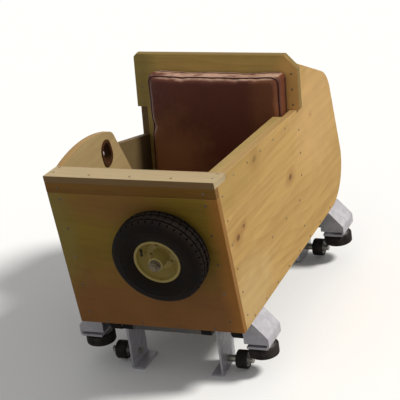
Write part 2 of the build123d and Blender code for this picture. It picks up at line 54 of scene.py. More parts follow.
# Measures of the tub in millimetres, from the foot of the front board and the underside
MIDDLE_Y = 364.275
STAND = 167.0  # the underside's height above the ground
HALF = 229.0
INSIDE = 211.0
BOARD = 18.0
FRONT_HEIGHT = 447.0
FRONT_LEAN = 63.0
LEAN = math.atan2(FRONT_LEAN, FRONT_HEIGHT)
SIDE_DROP, SIDE_RUN = 63.0, 602.0  # of the sides' low top edge
RECLINE = math.radians(8.0)
LOW_END = 384.0
BACK_Y = 539.0
SEAT_FRONT = 240.0
SEAT_SCREW = 141.0  # height of the screws into the seat board
BUMPER_X, BUMPER_UP = 67, 256  # on the front board, across and up its slope
TUBE_X, TUBE_HALF, TUBE_UNDER = 110, 15, -30
SHELF_UNDER = -6
FRAME_ENDS = (30, 792)
CROSS_TUBES = (45, 400, 777)
BOGIES = {"front": 98, "rear": 745}
BOGIE_HALF = 46
TAB_HALF = 30

# Camera of the photograph: its place, its aim and its roll
CAMERA_AT = Vector((1.743, -3.778, 2.234))
CAMERA_FORWARD = Vector((-0.3837, 0.8269, -0.4112))
CAMERA_ROLL = 8.2  # degrees
CAMERA_FIELD = 13.48  # degrees, the whole frame

# Light
SUN_FROM = Vector((1.0, 0.25, 1.05))
SUN_STRENGTH = 3.0
SUN_SPREAD = math.radians(12)
SUN_COLOUR = (1.0, 0.975, 0.93)
SKY_STRENGTH = 0.42


# Small helpers
def select_only(obj):
    bpy.ops.object.select_all(action="DESELECT")
    obj.select_set(True)
    bpy.context.view_layer.objects.active = obj


def edit(obj):
    """Opens a piece for editing with all of it selected."""
    select_only(obj)
    bpy.ops.object.mode_set(mode="EDIT")
    bpy.ops.mesh.select_all(action="SELECT")


def leave_edit():
    bpy.ops.object.mode_set(mode="OBJECT")


def made(add, **values):
    """A new primitive, with nothing else selected."""
    bpy.ops.object.select_all(action="DESELECT")
    add(**values)
    return bpy.context.object


def block(size, middle):
    """Box of a size, its middle at a place."""
    box = made(bpy.ops.mesh.primitive_cube_add, size=1, location=middle)
    box.scale = size
    bpy.ops.object.transform_apply(location=True, rotation=False, scale=True)
    return box


def pick(obj, chosen):
    """Opens a piece for editing with only its chosen faces selected."""
    edit(obj)
    bpy.ops.mesh.select_mode(type="FACE")
    bpy.ops.mesh.select_all(action="DESELECT")
    mesh = bmesh.from_edit_mesh(obj.data)
    for face in mesh.faces:
        face.select = chosen(face)
    bmesh.update_edit_mesh(obj.data)


def faces_up(face):
    return face.normal.z > 0.9


def settle(obj, name, body, material, smooth=40):
    """Puts the place into the mesh, names the piece and hands it to its body."""
    select_only(obj)
    bpy.ops.object.transform_apply(location=True, rotation=True, scale=True)
    obj.name = name
    obj.data.name = name
    obj.data.materials.clear()
    obj.data.materials.append(material)
    bpy.ops.object.shade_smooth_by_angle(angle=math.radians(smooth))
    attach(obj, body)


def apply_modifiers(obj):
    select_only(obj)
    for modifier in list(obj.modifiers):
        bpy.ops.object.modifier_apply(modifier=modifier.name)


def add_modifier(obj, kind, **values):
    modifier = obj.modifiers.new(kind.title(), kind)
    for key, value in values.items():
        setattr(modifier, key, value)


def linked(name, data):
    """A new object in the scene."""
    obj = bpy.data.objects.new(name, data)
    scene.collection.objects.link(obj)
    return obj


def tub(x, y, z):
    """A place given in the tub's own millimetres."""
    return Vector((x, y - MIDDLE_Y, z + STAND)) / 1000


def top_edge(y):
    """Height of the sides' low top edge."""
    return FRONT_HEIGHT - SIDE_DROP / SIDE_RUN * (y + FRONT_LEAN)


def back_y(z):
    """Place along the tub of the back board's front face, at a height."""
    return BACK_Y + (z - LOW_END) * math.tan(RECLINE)


def on_front(x, up, out=0.0):
    """A place on the front board, measured up its slope and out from its face."""
    y = -up * math.sin(LEAN) - out * math.cos(LEAN)
    return tub(x, y, up * math.cos(LEAN) - out * math.sin(LEAN))


def unit(degrees):
    """(cosine, sine) of an angle."""
    angle = math.radians(degrees)
    return math.cos(angle), math.sin(angle)


FRONT_OUT = Vector((0, -math.cos(LEAN), -math.sin(LEAN)))
BACK_OUT = Vector((0, -math.cos(RECLINE), math.sin(RECLINE)))
UP = Vector((0, 0, 1))
RIGHT = Vector((1, 0, 0))
REAR = Vector((0, 1, 0))
ALONG_Y = (0, 0, -90)  # turn that lays the grain along the tub

ZERO = (0.0, 0.0, 0.0)
WHITE = (1.0, 1.0, 1.0, 1.0)
INK = (0.0, 0.0, 0.0, 1.0)
SOCKETS = {1: "NodeSocketFloat", 3: "NodeSocketVector", 4: "NodeSocketColor"}


# Shader building
class Graph:
    """Short calls for one node tree."""

    def __init__(self, tree):
        self.tree = tree

    def feed(self, socket, value):
        """Links or sets a socket; a colour of three numbers is one as a screen shows it."""
        if isinstance(value, bpy.types.NodeSocket):
            self.tree.links.new(value, socket)
        elif socket.type == "RGBA" and len(value) == 3:
            socket.default_value = colour(*value)
        else:
            socket.default_value = value

    def add(self, kind, inputs=None, **settings):
        node = self.tree.nodes.new(kind)
        for key, value in settings.items():
            setattr(node, key, value)
        for key, value in (inputs or {}).items():
            self.feed(node.inputs[key], value)
        return node

    def use(self, group, **inputs):
        """Outputs of a shared group."""
        return self.add("ShaderNodeGroup", inputs, node_tree=group).outputs

    def give(self, **outputs):
        """Feeds a group's outputs and returns the group."""
        self.add("NodeGroupOutput", outputs)
        return self.tree

    def math(self, operation, a, b=0.0, clamp=False):
        return self.add("ShaderNodeMath", {0: a, 1: b}, operation=operation, use_clamp=clamp).outputs[0]

    def plus(self, a, b):
        return self.math("ADD", a, b)

    def less(self, a, b):
        return self.math("SUBTRACT", a, b)

    def times(self, a, b, clamp=False):
        return self.math("MULTIPLY", a, b, clamp)

    def vector(self, operation, a, b=ZERO):
        node = self.add("ShaderNodeVectorMath", {0: a, 1: b}, operation=operation)
        return node.outputs["Value" if operation in ("LENGTH", "DOT_PRODUCT") else "Vector"]

    def along(self, vector, axis):
        return self.add("ShaderNodeSeparateXYZ", {0: vector}).outputs[axis]

    def place(self):
        return self.add("ShaderNodeTexCoord").outputs["Object"]

    def normal(self):
        return self.add("ShaderNodeNewGeometry").outputs["Normal"]

    def mix(self, factor, a, b):
        return self.add("ShaderNodeMix", {0: factor, 6: a, 7: b}, data_type="RGBA").outputs[2]

    def noise(self, vector, scale, detail=4.0, rough=0.55, distortion=0.0):
        return self.add("ShaderNodeTexNoise", {
            "Vector": vector, "Scale": scale, "Detail": detail, "Roughness": rough, "Distortion": distortion,
        }).outputs["Fac"]

    def mapping(self, vector, scale=(1, 1, 1), turn=ZERO, shift=ZERO):
        return self.add("ShaderNodeMapping", {
            "Vector": vector, "Scale": scale, "Rotation": turn, "Location": shift,
        }).outputs[0]

    def ramp(self, value, low, high, start=0.0, end=1.0):
        """The start value below low, the end value above high."""
        inputs = {0: value, 1: low, 2: high, 3: start, 4: end}
        return self.add("ShaderNodeMapRange", inputs, clamp=True).outputs[0]

    def bump(self, height, strength, distance):
        inputs = {"Height": height, "Strength": strength, "Distance": distance}
        return self.add("ShaderNodeBump", inputs).outputs[0]


def colour(*shown):
    """Linear colour from the three 0 to 255 values that a screen shows."""
    shares = [value / 255 for value in shown]
    return (*[s / 12.92 if s <= 0.04045 else ((s + 0.055) / 1.055) ** 2.4 for s in shares], 1.0)


def new_group(name, outputs, **inputs):
    """(graph, what it is fed) of a new shader group, each input with its default."""
    group = bpy.data.node_groups.new(name, "ShaderNodeTree")
    for label, value in inputs.items():
        kind = SOCKETS[len(value) if isinstance(value, tuple) else 1]
        group.interface.new_socket(label, in_out="INPUT", socket_type=kind).default_value = value
    for label in outputs:
        kind = SOCKETS[4 if label == "Color" else 1]
        group.interface.new_socket(label, in_out="OUTPUT", socket_type=kind)
    g = Graph(group)
    return g, g.add("NodeGroupInput").outputs


def wood_group():
    """Long-grained pine: streaks, wandering growth bands and pores along X of the vector."""
    g, fed = new_group("pine_grain", ("Color", "Height", "Roughness"), Position=ZERO, Pale=WHITE, Dark=INK,
                       Bands=26.0, Contrast=0.5)
    place = fed["Position"]
    drift = g.noise(g.mapping(place, scale=(0.9, 3.2, 3.2)), 1.0, 2.0, 0.45)
    push = g.add("ShaderNodeCombineXYZ", {"Y": g.times(drift, 0.1), "Z": g.times(drift, 0.14)})
    warped = g.vector("ADD", place, push.outputs[0])
    bands = g.add("ShaderNodeTexWave", {
        "Vector": g.mapping(warped, scale=(0.1, 1.0, 1.0)),
        "Scale": fed["Bands"],
        "Distortion": 2.2,
        "Detail": 2.0,
        "Detail Scale": 1.2,
        "Detail Roughness": 0.5,
    }, wave_type="BANDS", bands_direction="DIAGONAL", wave_profile="SAW")
    late = g.math("POWER", bands.outputs["Fac"], 2.0)
    fibre = g.noise(g.mapping(warped, scale=(3.5, 210.0, 210.0)), 1.0, 3.0, 0.7)
    streak = g.noise(g.mapping(warped, scale=(0.8, 34.0, 34.0)), 1.0, 3.0, 0.6)
    pores = g.ramp(g.noise(g.mapping(place, scale=(18.0, 700.0, 700.0)), 1.0, 2.0, 0.6), 0.58, 0.74)
    cloud = g.noise(g.mapping(place, scale=(1.2, 3.0, 3.0)), 1.6, 4.0, 0.6)
    tone = g.plus(g.times(late, 0.24), g.times(fibre, 0.34))
    tone = g.plus(tone, g.times(g.less(streak, 0.5), 1.5))
    tone = g.plus(tone, g.times(g.less(cloud, 0.5), 0.9))
    tone = g.times(tone, fed["Contrast"], clamp=True)
    shade = g.mix(tone, fed["Pale"], fed["Dark"])
    return g.give(
        Color=g.mix(g.times(pores, 0.22), shade, fed["Dark"]),
        Height=g.less(g.times(fibre, 0.6), g.times(pores, 0.8)),
        Roughness=g.plus(0.52, g.times(fibre, 0.22)),
    )


def knot_group():
    """Round dark knot with a paler ring, at a place, on a board."""
    g, fed = new_group("knot", ("Color",), Position=ZERO, Centre=ZERO, Radius=0.01, Color=WHITE)
    flat = g.mapping(g.vector("SUBTRACT", fed["Position"], fed["Centre"]), scale=(1.0, 0.75, 1.15))
    wobble = g.times(g.noise(fed["Position"], 90.0, 2.0), fed["Radius"])
    far = g.plus(g.vector("LENGTH", flat), g.times(wobble, 0.5))
    far = g.math("DIVIDE", far, fed["Radius"])
    core = g.less(1.0, g.ramp(far, 0.75, 1.15))
    halo = g.less(1.0, g.ramp(far, 1.2, 3.4))
    ringed = g.mix(g.times(halo, 0.55), fed["Color"], (146, 102, 48))
    return g.give(Color=g.mix(g.times(core, 0.9), ringed, (102, 66, 28)))


def stain_and_shade_group():
    """Soft patch of another colour; its scale is one over its reach along each axis."""
    g, fed = new_group("stain_and_shade", ("Color",), Position=ZERO, Centre=ZERO, Scale=(10.0, 10.0, 10.0),
                       Color=WHITE, Stain=INK, Amount=0.5)
    offset = g.vector("SUBTRACT", fed["Position"], fed["Centre"])
    far = g.vector("LENGTH", g.vector("MULTIPLY", offset, fed["Scale"]))
    far = g.plus(far, g.less(g.noise(fed["Position"], 16.0, 4.0, 0.6), 0.5))
    mask = g.times(g.less(1.0, g.ramp(far, 0.35, 1.0)), fed["Amount"])
    return g.give(Color=g.mix(mask, fed["Color"], fed["Stain"]))


def wear_group():
    """Mask of the worn arrises, from how far a rounded normal turns off the face's own."""
    g, fed = new_group("edge_wear", ("Mask",), Radius=0.003, Amount=1.0, Patch=30.0)
    rounded = g.add("ShaderNodeBevel", {"Radius": fed["Radius"]}, samples=6).outputs[0]
    edge = g.ramp(g.less(1.0, g.vector("DOT_PRODUCT", rounded, g.normal())), 0.02, 0.22)
    patch = g.ramp(g.noise(g.place(), fed["Patch"], 5.0, 0.65), 0.36, 0.62)
    return g.give(Mask=g.times(g.times(edge, patch), fed["Amount"], clamp=True))


def ply_group():
    """Thin layers on the cut edges of a plywood board, light and dark in turn across its thickness."""
    g, fed = new_group("ply_edge", ("Color",), Axis=(1.0, 0.0, 0.0), Color=WHITE, Pale=WHITE, Dark=INK)
    place = g.place()
    ragged = g.times(g.less(g.noise(place, 110.0, 3.0), 0.5), 0.0009)
    across = g.plus(g.vector("DOT_PRODUCT", place, fed["Axis"]), ragged)
    layer = g.ramp(g.math("SINE", g.times(across, math.tau / 0.0052)), -0.25, 0.25)
    shade = g.mix(layer, fed["Pale"], fed["Dark"])
    specks = g.times(g.ramp(g.noise(place, 240.0, 4.0, 0.7), 0.45, 0.7), 0.4)
    shade = g.mix(specks, shade, fed["Dark"])
    turn = g.math("ABSOLUTE", g.vector("DOT_PRODUCT", g.normal(), fed["Axis"]))
    return g.give(Color=g.mix(g.less(1.0, g.ramp(turn, 0.55, 0.75)), fed["Color"], shade))


def grime_group():
    """Mask of dust and dirt that gathers low down and in patches."""
    g, fed = new_group("grime", ("Mask",), Low=0.0, High=0.4, Size=8.0, Amount=0.5)
    place = g.place()
    low = g.ramp(g.along(place, "Z"), fed["High"], fed["Low"])
    patch = g.ramp(g.noise(place, fed["Size"], 6.0, 0.62, 0.4), 0.4, 0.68)
    mask = g.times(g.plus(g.times(low, 0.6), 0.4), patch)
    return g.give(Mask=g.times(mask, fed["Amount"], clamp=True))


PINE_GRAIN = wood_group()
KNOT = knot_group()
STAIN_AND_SHADE = stain_and_shade_group()
EDGE_WEAR = wear_group()
PLY_EDGE = ply_group()
GRIME = grime_group()


def new_material(name):
    """A material with an empty Principled shader: (material, graph, the shader's inputs)."""
    material = bpy.data.materials.new(name)
    material.use_nodes = True
    return material, Graph(material.node_tree), material.node_tree.nodes["Principled BSDF"].inputs


def dress(g, shader, shade, rough, relief, specular=0.5, metal=0.0):
    """Feeds a shader; relief is the (height, strength, distance) of its bump."""
    g.feed(shader["Base Color"], shade)
    g.feed(shader["Roughness"], rough)
    g.feed(shader["Normal"], g.bump(*relief))
    g.feed(shader["Specular IOR Level"], specular)
    g.feed(shader["Metallic"], metal)


def lay_stains_and_shade(g, place, shade, stains_and_shade):
    """The colour with soft patches, stains and painted shade, laid over it, each (centre, scale, colour,
    amount).
    """
    for centre, scale, tint, amount in stains_and_shade:
        shade = g.use(STAIN_AND_SHADE, Position=place, Centre=centre, Scale=scale, Color=shade, Stain=tint,
                      Amount=amount)["Color"]
    return shade


def wood(name, pale, dark, turn=ZERO, shift=ZERO, bands=26.0, contrast=0.55, knots=(),
         dirt=(0.35, (92, 74, 44)), ply=None, front_shade=None, stains_and_shade=(), beyond=None):
    """A board's finish; turn lays the grain along it, dirt is its (amount, colour), ply is the way through
    a plywood board and its layers' two colours, stained is the painted shade colour of the side that faces
    the front, stains are soft patches, some of them painted shade, and beyond is a (place, way, colour)
    past which the board is darker on all but its outer side."""
    material, g, shader = new_material(name)
    place = g.place()
    along = g.mapping(place, turn=tuple(math.radians(a) for a in turn), shift=shift)
    grain = g.use(PINE_GRAIN, Position=along, Pale=pale, Dark=dark, Bands=bands, Contrast=contrast)
    shade = grain["Color"]
    for centre, radius in knots:
        shade = g.use(KNOT, Position=place, Centre=centre, Radius=radius, Color=shade)["Color"]
    shade = lay_stains_and_shade(g, place, shade, stains_and_shade)
    if ply:
        way, light, deep = ply
        shade = g.use(PLY_EDGE, Axis=way.normalized(), Color=shade, Pale=light, Dark=deep)["Color"]
    # Painted shade: faces that look to the front are drawn darker, towards the given shade colour.
    if front_shade:
        front = g.ramp(g.times(g.along(g.normal(), "Y"), -1.0), 0.4, 0.8)
        shade = g.mix(front, shade, g.mix(0.25, front_shade, shade))
    if beyond:
        start, way, tint = beyond
        past = g.vector("DOT_PRODUCT", g.vector("SUBTRACT", place, start), way)
        within = g.ramp(g.along(g.normal(), "X"), -0.9, -0.5)
        mask = g.times(g.ramp(past, 0.0, 0.002), within)
        shade = g.mix(mask, shade, g.mix(0.25, tint, shade))
    wear_and_sheen = g.use(EDGE_WEAR, Radius=0.003, Amount=0.7, Patch=40.0)["Mask"]
    shade = g.mix(wear_and_sheen, shade, g.mix(0.4, shade, (214, 190, 144)))
    grime = g.use(GRIME, Low=0.17, High=0.5, Size=7.0, Amount=dirt[0])["Mask"]
    shade = g.mix(grime, shade, g.mix(0.55, shade, dirt[1]))
    dress(g, shader, shade, grain["Roughness"], (grain["Height"], 0.35, 0.0006), specular=0.2)
    return material


def vinyl(name, base, pale, stains_and_shade=()):
    """Old upholstery vinyl: fine leather pebble, creases and a painted highlight, a patchy pale sheen on the
    up-facing top of the back cushion.
    """
    material, g, shader = new_material(name)
    place = g.place()
    pebble = g.add("ShaderNodeTexVoronoi", {"Vector": place, "Scale": 620.0}, feature="SMOOTH_F1")
    cloud = g.noise(place, 7.0, 5.0, 0.6)
    crease = g.ramp(g.noise(g.mapping(place, scale=(18, 18, 5)), 2.0, 6.0, 0.7, 1.2), 0.45, 0.6)
    shade = g.mix(g.times(g.ramp(cloud, 0.35, 0.75), 0.55), base, pale)
    shade = lay_stains_and_shade(g, place, shade, stains_and_shade)
    # Painted highlight: the up-facing top of the back cushion is drawn paler in patches, a sheen of light.
    wear_and_sheen = g.ramp(g.noise(place, 22.0, 4.0, 0.6), 0.3, 0.55)
    upward = g.ramp(g.along(g.normal(), "Z"), 0.72, 0.98)
    high = g.ramp(g.along(place, "Z"), 0.6, 0.63)
    painted_sheen = g.times(g.times(g.times(upward, high), 0.9), wear_and_sheen)
    shade = g.mix(painted_sheen, shade, (192, 156, 134))
    relief = g.plus(g.times(pebble.outputs["Distance"], 0.5), g.times(crease, 0.8))
    dress(g, shader, shade, g.plus(0.42, g.times(cloud, 0.2)), (relief, 0.35, 0.0008), specular=0.25)
    return material


def rubber(name, base, dust, amount):
    material, g, shader = new_material(name)
    place = g.place()
    cloud = g.noise(place, 24.0, 5.0, 0.6)
    scuff = g.ramp(g.noise(place, 70.0, 4.0, 0.7, 0.6), 0.52, 0.7)
    shade = g.mix(g.times(g.ramp(cloud, 0.42, 0.72), amount), base, dust)
    shade = g.mix(g.times(scuff, 0.25), shade, dust)
    shade = g.mix(g.use(EDGE_WEAR, Radius=0.002, Amount=0.5, Patch=60.0)["Mask"], shade, dust)
    relief = (g.noise(place, 420.0, 3.0), 0.18, 0.0005)
    dress(g, shader, shade, g.plus(0.68, g.times(cloud, 0.25)), relief, specular=0.1)
    return material


def painted(name, base, bare, rust_amount, gloss=0.42):
    """Paint over steel, chipped on its arrises, with a little rust in patches."""
    material, g, shader = new_material(name)
    place = g.place()
    cloud = g.noise(place, 16.0, 5.0, 0.6)
    shade = g.mix(g.ramp(cloud, 0.3, 0.8), base, g.mix(0.35, base, (120, 110, 92)))
    chips = g.use(EDGE_WEAR, Radius=0.0025, Amount=0.9, Patch=70.0)["Mask"]
    shade = g.mix(chips, shade, bare)
    rust = g.times(g.ramp(g.noise(place, 34.0, 6.0, 0.68, 0.5), 0.56, 0.7), rust_amount)
    shade = g.mix(rust, shade, (104, 58, 30))
    relief = (g.less(g.times(rust, 0.8), chips), 0.3, 0.0005)
    dress(g, shader, shade, g.plus(gloss, g.times(rust, 0.5)), relief, metal=g.times(chips, 0.7))
    return material


def zinc(name, base, spangle, dull, metal=0.6):
    """Zinc coat: crystal flakes of slightly different tone, dull white bloom and fine scratches."""
    material, g, shader = new_material(name)
    place = g.place()
    flake = g.add("ShaderNodeTexVoronoi", {"Vector": place, "Scale": spangle, "Randomness": 1.0})
    tone = g.add("ShaderNodeSeparateColor", {0: flake.outputs["Color"]}).outputs[0]
    shade = g.mix(g.times(tone, 0.55), base, g.mix(0.5, base, (96, 100, 108)))
    bloom = g.ramp(g.noise(place, 12.0, 6.0, 0.65), 0.48, 0.72)
    shade = g.mix(g.times(bloom, 0.35), shade, (206, 206, 200))
    streak = g.ramp(g.noise(g.mapping(place, scale=(1, 1, 0.15)), 80.0, 4.0, 0.7), 0.62, 0.78)
    shade = g.mix(g.times(streak, 0.35), shade, (98, 82, 62))
    rough = g.plus(g.times(tone, 0.14), g.plus(dull, g.times(bloom, 0.2)))
    scratch = g.noise(g.mapping(place, scale=(30, 900, 900)), 1.0, 2.0)
    dress(g, shader, shade, rough, (scratch, 0.12, 0.0003), metal=metal)
    return material


# Knots, each (place, radius)
RIGHT_KNOTS = [(tub(HALF, y, z), radius) for y, z, radius in (
    (204, 390, 0.013), (438, 233, 0.012), (40, 250, 0.012), (84, 262, 0.007), (640, 330, 0.006),
)]
LEFT_KNOTS = [(tub(-HALF, y, z), radius) for y, z, radius in (
    (150, 152, 0.011), (505, 118, 0.013), (528, 130, 0.006), (652, 352, 0.009),
)]
SKIN_KNOTS = [(tub(-62, 850, 190), 0.012), (tub(88, 690, 446), 0.009)]
DOOR_EDGE = (tub(-HALF, 308, 408.2), Vector((0, 0.881, 0.472)))

# Finishes, in the 0 to 255 values that a screen shows
PLY = wood(
    "side_ply", (192, 155, 92), (142, 104, 48), turn=ALONG_Y, knots=RIGHT_KNOTS, contrast=0.8,
    dirt=(0.3, (120, 92, 52)), ply=(RIGHT, (180, 148, 96), (154, 120, 72)),
    stains_and_shade=((tub(HALF, 690, 330), (0, 4.5, 4.5), (210, 170, 114), 0.5),
            (tub(HALF, 60, 400), (0, 3.0, 9.0), (158, 128, 66), 0.5),
            (tub(HALF, 90, 60), (0, 5.0, 7.0), (202, 174, 122), 0.5)),
)
PLY_LEFT = wood(
    "left_ply", (174, 150, 106), (132, 106, 66), turn=ALONG_Y, shift=(0.3, 0.7, 0.2), knots=LEFT_KNOTS,
    ply=(RIGHT, (176, 144, 94), (140, 106, 62)), beyond=(*DOOR_EDGE, (70, 54, 30)),
)
# Front board: its colours are darker than the sides' partly as painted shade of the front and partly as its
# own dirtier tone.
FRONT_PLY = wood(
    "front_ply", (146, 118, 40), (94, 68, 20), shift=(0.5, 0.1, 0.4), contrast=0.6,
    dirt=(0.5, (92, 54, 26)), ply=(FRONT_OUT, (156, 108, 48), (124, 86, 36)),
    stains_and_shade=((tub(0, 0, 20), (0, 0, 4.6), (140, 90, 52), 0.8),
            (tub(HALF, 0, 200), (22, 0, 1.6), (178, 118, 52), 0.85),
            (tub(-HALF, 0, 300), (14, 0, 4.0), (140, 128, 70), 0.6),
            (tub(-60, 0, 370), (6.0, 0, 12.0), (142, 94, 52), 0.6)),
)
# Front rail: drawn as dark as the front board, partly as painted shade and partly as its own dirtier tone.
FRONT_RAIL = wood(
    "front_rail", (128, 90, 32), (80, 50, 16), shift=(0.2, 0.6, 0.7), contrast=0.7,
    dirt=(0.4, (70, 44, 26)), ply=(FRONT_OUT, (140, 96, 42), (104, 70, 30)),
)
# Planed top board: its front side is drawn darker as painted shade.
PLANED = wood(
    "planed_rail", (180, 160, 124), (146, 122, 84), shift=(0.2, 0.5, 0.1), bands=40.0, contrast=0.6,
    front_shade=(110, 74, 26),
)
PLANED_LONG = wood("planed_batten", (166, 140, 86), (126, 98, 52), turn=ALONG_Y, bands=40.0, contrast=0.6)
# Back board: the darker patch at its left end is painted shade.
BACK_PLY = wood(
    "back_ply", (196, 165, 94), (140, 108, 50), shift=(0.9, 0.3, 0.6), contrast=0.7,
    ply=(BACK_OUT, (142, 118, 66), (112, 90, 44)),
    stains_and_shade=((tub(232, BACK_Y, 420), (15, 0, 4.0), (224, 172, 100), 0.85),
            (tub(-232, BACK_Y, 440), (16, 0, 3.0), (140, 124, 64), 0.7)),
)
INNER_PLY = wood(
    "inner_ply", (170, 140, 90), (116, 86, 46), turn=ALONG_Y, shift=(0.1, 0.9, 0.3), dirt=(0.6, (92, 74, 44)),
)
SKIN_PLY = wood(
    "skin_ply", (202, 167, 106), (154, 114, 60), shift=(0.4, 0.2, 0.8), contrast=0.6, knots=SKIN_KNOTS,
)
MAROON = vinyl(
    "maroon_vinyl", (80, 34, 22), (98, 54, 32),
    stains_and_shade=((tub(-150, 510, 250), (5.5, 5.5, 5.5), (140, 96, 58), 0.6),
            (tub(164, 520, 420), (17, 0, 6.0), (116, 70, 38), 0.7)),
)
PIPING = vinyl("piping_vinyl", (56, 22, 14), (72, 36, 22))
TYRE = rubber("tyre_rubber", (14, 10, 8), (44, 32, 22), 0.4)
CREAM = painted("cream_rim", (158, 138, 64), (104, 86, 54), 0.5, 0.5)
GALVANISED = zinc("galvanised_steel", (176, 173, 179), 70.0, 0.36, 0.1)
BOLT_ZINC = zinc("bolt_zinc", (150, 146, 134), 260.0, 0.36)
AXLE_STEEL = zinc("axle_steel", (104, 88, 58), 260.0, 0.5, 0.25)
SCREW_ZINC = zinc("screw_zinc", (132, 106, 66), 300.0, 0.5, 0.3)
DARK_SCREW = zinc("dark_screw", (84, 62, 34), 300.0, 0.5, 0.2)
BLACK = painted("black_frame", (26, 26, 28), (120, 112, 104), 0.4)
WORN_STEEL = zinc("worn_steel", (110, 106, 102), 300.0, 0.4)
URETHANE = rubber("urethane_tread", (34, 30, 30), (96, 88, 80), 0.35)
WHEEL_CORE = zinc("wheel_core", (140, 136, 130), 200.0, 0.42)
PLUG = rubber("plug_plastic", (22, 22, 24), (70, 64, 58), 0.3)
# Dark trim rubber; its darkness also stands in for the shade inside the hand slot.
TRIM_RUBBER_AND_SHADE = rubber("trim_rubber_and_shade", (58, 32, 12), (84, 60, 36), 0.4)
WELD = zinc("weld_bead", (92, 86, 80), 340.0, 0.45)

BOARDS = {
    "side_panel_right": PLY, "side_panel_left": PLY_LEFT, "front_panel": FRONT_PLY,
    "front_top_rail": FRONT_RAIL, "top_board": PLANED, "top_batten_right": PLANED_LONG,
    "front_post_right": INNER_PLY, "front_post_left": INNER_PLY, "door_post": INNER_PLY,
    "back_panel": BACK_PLY, "tail_skin": SKIN_PLY, "floor_board": INNER_PLY, "seat_board": BACK_PLY,
    "seat_riser": BACK_PLY,
}
STEEL = {
    "bumper_axle": AXLE_STEEL, "bumper_backing_plate": GALVANISED, "chain_dog": WORN_STEEL,
    "chain_dog_bracket": BLACK, "chain_dog_pin": BOLT_ZINC, "tow_tab": BLACK,
    "frame_tube_right": BLACK, "frame_tube_left": BLACK, "cross_tube_front": BLACK,
    "cross_tube_middle": BLACK, "cross_tube_rear": BLACK,
}
SOFT = {"seat_cushion": MAROON, "back_cushion": MAROON, "bumper_tyre": TYRE, "bumper_rim": CREAM}
RAIL_WHEELS = (
    # node, radius, width
    ("load_wheel", 0.028, 0.03),
    ("upstop_wheel", 0.025, 0.03),
    ("guide_wheel", 0.04, 0.028),
)
CORNERS = [f"{row}_{side}" for row in ROWS for side in SIDES]
for corner in CORNERS:
    STEEL[f"carrier_{corner}"] = GALVANISED
    STEEL[f"wheel_bolts_{corner}"] = BOLT_ZINC
    for wheel in RAIL_WHEELS:
        SOFT[f"{wheel[0]}_{corner}"] = URETHANE
BOARD_ARRIS = 0.0014
STEEL_ARRIS = 0.0007


def paint(node, material, arris):
    """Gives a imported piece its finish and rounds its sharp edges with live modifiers."""
    obj = nodes[node]
    obj.data.materials.clear()
    obj.data.materials.append(material)
    if arris:
        add_modifier(obj, "WELD", merge_threshold=0.00002)
        add_modifier(obj, "BEVEL", width=arris, segments=2, limit_method="ANGLE",
                     angle_limit=math.radians(38), use_clamp_overlap=True)


for finishes, arris in ((BOARDS, BOARD_ARRIS), (STEEL, STEEL_ARRIS), (SOFT, None)):
    for node, finish in finishes.items():
        paint(node, finish, arris)


# Turned pieces
def turned(profile, steps):
    """Closed ring of revolution about Z from a closed list of (radius, height) points."""
    ring = made(bpy.ops.mesh.primitive_circle_add, vertices=len(profile), radius=0.01, fill_type="NOTHING")
    for vertex, (radius, height) in zip(ring.data.vertices, profile):
        vertex.co = (radius, 0.0, height)
    edit(ring)
    bpy.ops.mesh.spin(steps=steps, angle=math.tau, center=(0, 0, 0), axis=(0, 0, 1))
    bpy.ops.mesh.select_all(action="SELECT")
    bpy.ops.mesh.remove_doubles(threshold=0.00001)
    bpy.ops.mesh.normals_make_consistent(inside=False)
    leave_edit()
    return ring


def arc(centre, radius, start, end, steps):
    """Points of an arc in a (radius, height) profile, degrees."""
    points = []
    for step in range(steps + 1):
        cosine, sine = unit(start + (end - start) * step / steps)
        points.append((centre[0] + radius * cosine, centre[1] + radius * sine))
    return points


def mirrored(half):
    """A profile and its mirror image on the other side of height 0."""
    return half + [(radius, -height) for radius, height in reversed(half)]


def hexagon(radius, depth, place=ZERO):
    """Six-sided head or nut with soft arrises, its middle at a place."""
    piece = made(bpy.ops.mesh.primitive_cylinder_add, vertices=6, radius=radius, depth=depth, location=place)
    add_modifier(piece, "BEVEL", width=0.0007, segments=2)
    apply_modifiers(piece)
    return piece


def point_along(obj, place, axis, turn=0.0):
    """Stands a piece that was made about Z at a place, with its Z along an axis."""
    aim = Vector(axis).to_track_quat("Z", "Y").to_matrix().to_4x4()
    obj.matrix_world = Matrix.Translation(Vector(place)) @ aim @ Matrix.Rotation(turn, 4, "Z")


def joined(objects):
    """One piece of several, in the first one's own frame."""
    select_only(objects[0])
    for obj in objects:
        obj.select_set(True)
    bpy.ops.object.join()
    return bpy.context.object


def copied(obj):
    """A copy with its own mesh."""
    twin = obj.copy()
    twin.data = obj.data.copy()
    scene.collection.objects.link(twin)
    return twin


def dropped(*objects):
    for obj in objects:
        bpy.data.objects.remove(obj)


# Bumper tyre and its rim
BUMPER = joint_of["bumper_wheel"]
BUMPER_AT = Vector(BUMPER["pos_m"])
BUMPER_AXIS = Vector(BUMPER["axis"])
BEAD = 0.058
TYRE_OUT = 0.041  # from the front board along the axle
TYRE_MIDDLE = BUMPER_AT + BUMPER_AXIS * TYRE_OUT
TREAD_STEPS = 78
GROOVE_DEPTH = 0.0026
RIM_BOLTS = 5
RIM_BOLT_CIRCLE = 0.0285
AXLE_BORE = 0.00805


def in_groove(face):
    """Whether a face of the tread is part of a cross groove; the middle rib's grooves are staggered."""
    centre = face.calc_center_median()
    share = (math.atan2(centre.y, centre.x) % math.tau) / math.tau
    step = int(round(share * TREAD_STEPS * 2 - 0.5)) + (1 if abs(centre.z) < 0.011 else 0)
    return math.hypot(centre.x, centre.y) > 0.1178 and abs(centre.z) < 0.026 and step % 4 == 0


